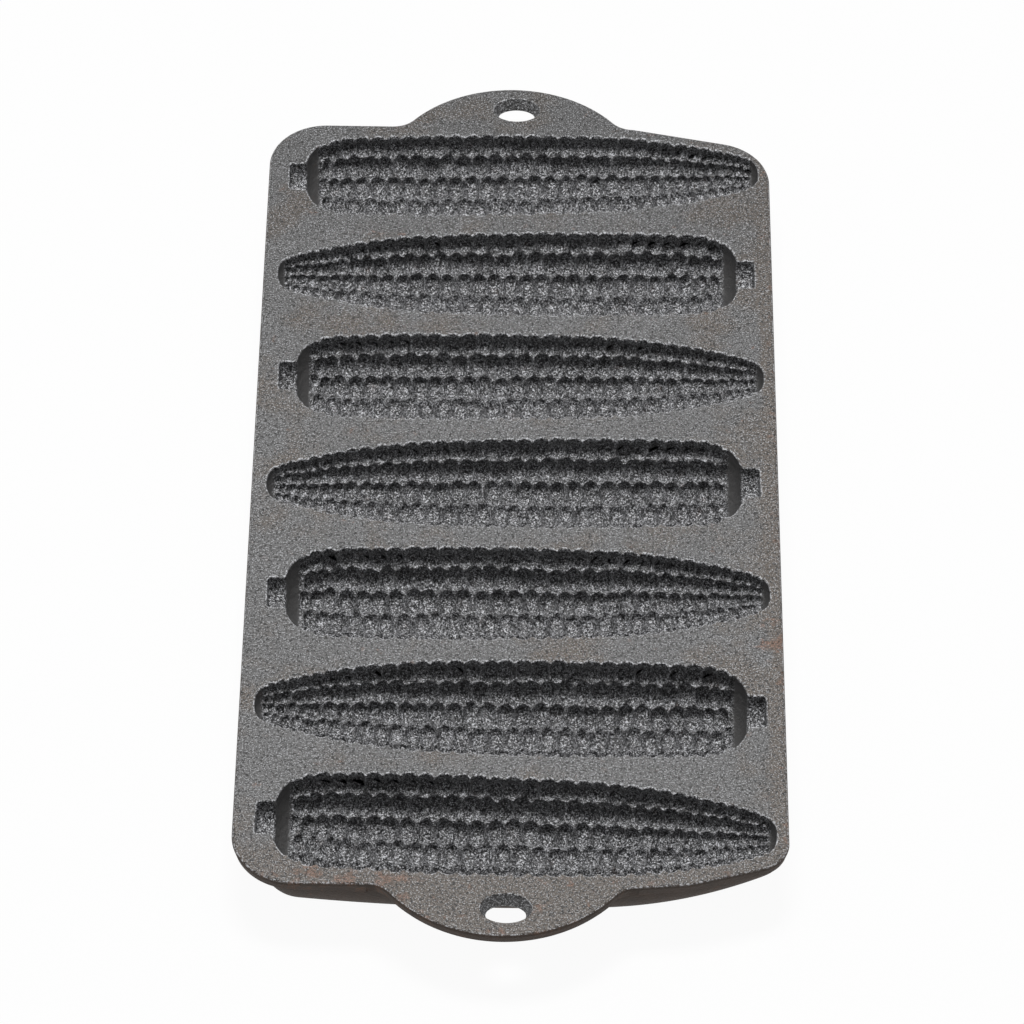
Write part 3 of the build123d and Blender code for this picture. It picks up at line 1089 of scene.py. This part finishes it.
class PAN_OT_cast_deck(bpy.types.Operator):
    """Casts the plate with its seven windows"""

    bl_idname = "corn_pan.cast_deck"
    bl_label = "Cast the plate"

    def execute(self, context):
        finish_piece(cast_deck(context.scene.corn_pan_casting), "deck_plate")
        return {"FINISHED"}


class PAN_OT_cast_handles(bpy.types.Operator):
    """Casts the two handle tabs with their hang holes"""

    bl_idname = "corn_pan.cast_handles"
    bl_label = "Cast the handles"

    def execute(self, context):
        finish_piece(cast_handle(near=False), "far_handle_tab")
        finish_piece(cast_handle(near=True), "near_handle_tab")
        return {"FINISHED"}


class PAN_OT_cast_moulds(bpy.types.Operator):
    """Casts the seven cob moulds under the plate"""

    bl_idname = "corn_pan.cast_moulds"
    bl_label = "Cast the moulds"

    def execute(self, context):
        for number in range(COB_COUNT):
            finish_piece(cast_mould(context.scene.corn_pan_casting, number), f"cob_mould_{number + 1}")
        return {"FINISHED"}


class PAN_OT_set_stage(bpy.types.Operator):
    """Sets the floor, the lights and the camera"""

    bl_idname = "corn_pan.set_stage"
    bl_label = "Set the stage"

    def execute(self, context):
        stage = context.scene.corn_pan_stage
        corners = [(x * FLOOR_HALF, y * FLOOR_HALF, 0) for x, y in ((-1, -1), (1, -1), (1, 1), (-1, 1))]
        mesh = bpy.data.meshes.new("studio_floor")
        mesh.from_pydata(corners, [], [(0, 1, 2, 3)])
        floor = bpy.data.objects.new("studio_floor", mesh)
        mesh.materials.append(floor_finish())
        context.scene.collection.objects.link(floor)

        key = bpy.data.lights.new("overhead", "AREA")
        key.shape = "RECTANGLE"
        key.size = LAMP_WIDTH
        key.size_y = LAMP_DEPTH
        key.energy = stage.key_power
        lamp = bpy.data.objects.new("overhead", key)
        context.scene.collection.objects.link(lamp)
        lamp.location = LAMP_PLACE
        lamp.rotation_euler = (-lamp.location).to_track_quat("-Z", "Y").to_euler()
        studio_world()

        camera_data = bpy.data.cameras.new("camera")
        camera_data.lens = stage.focal_length
        camera_data.sensor_width = SENSOR_WIDTH
        camera = bpy.data.objects.new("camera", camera_data)
        context.scene.collection.objects.link(camera)
        ahead = Vector(
            (
                math.sin(stage.azimuth) * math.cos(stage.elevation),
                math.cos(stage.azimuth) * math.cos(stage.elevation),
                -math.sin(stage.elevation),
            )
        )
        level = Vector((math.cos(stage.azimuth), -math.sin(stage.azimuth), 0))
        upward = level.cross(ahead)
        right = level * math.cos(stage.roll) + upward * math.sin(stage.roll)
        top = upward * math.cos(stage.roll) - level * math.sin(stage.roll)
        camera.matrix_world = Matrix.Translation(Vector(stage.aim) - ahead * stage.distance) @ Matrix(
            (right, top, -ahead)
        ).transposed().to_4x4()
        context.scene.camera = camera
        context.scene.view_settings.view_transform = "Standard"
        return {"FINISHED"}


class PAN_PT_sidebar(bpy.types.Panel):
    """Lists the steps that build the pan"""

    bl_idname = "PAN_PT_sidebar"
    bl_label = "Corn stick pan"
    bl_space_type = "VIEW_3D"
    bl_region_type = "UI"
    bl_category = "Corn pan"

    def draw(self, context):
        for operator in STEPS:
            self.layout.operator(operator.bl_idname)
        for group in ("corn_pan_casting", "corn_pan_iron", "corn_pan_stage"):
            settings = getattr(context.scene, group)
            box = self.layout.box()
            for name in settings.bl_rna.properties.keys():
                if name not in ("rna_type", "name"):
                    box.prop(settings, name)


GROUPS = {"corn_pan_casting": CornPanCasting, "corn_pan_iron": CornPanIron, "corn_pan_stage": CornPanStage}
STEPS = (PAN_OT_set_stage, PAN_OT_cast_deck, PAN_OT_cast_handles, PAN_OT_cast_moulds)


def register():
    for kind in (*GROUPS.values(), *STEPS, PAN_PT_sidebar):
        bpy.utils.register_class(kind)
    for name, kind in GROUPS.items():
        setattr(bpy.types.Scene, name, bpy.props.PointerProperty(type=kind))


def unregister():
    for name in GROUPS:
        delattr(bpy.types.Scene, name)
    for kind in (PAN_PT_sidebar, *STEPS[::-1], *list(GROUPS.values())[::-1]):
        bpy.utils.unregister_class(kind)


def main():
    """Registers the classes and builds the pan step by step."""
    register()
    bpy.ops.corn_pan.set_stage()
    bpy.ops.corn_pan.cast_deck()
    bpy.ops.corn_pan.cast_handles()
    bpy.ops.corn_pan.cast_moulds()


if __name__ == "__main__":
    main()
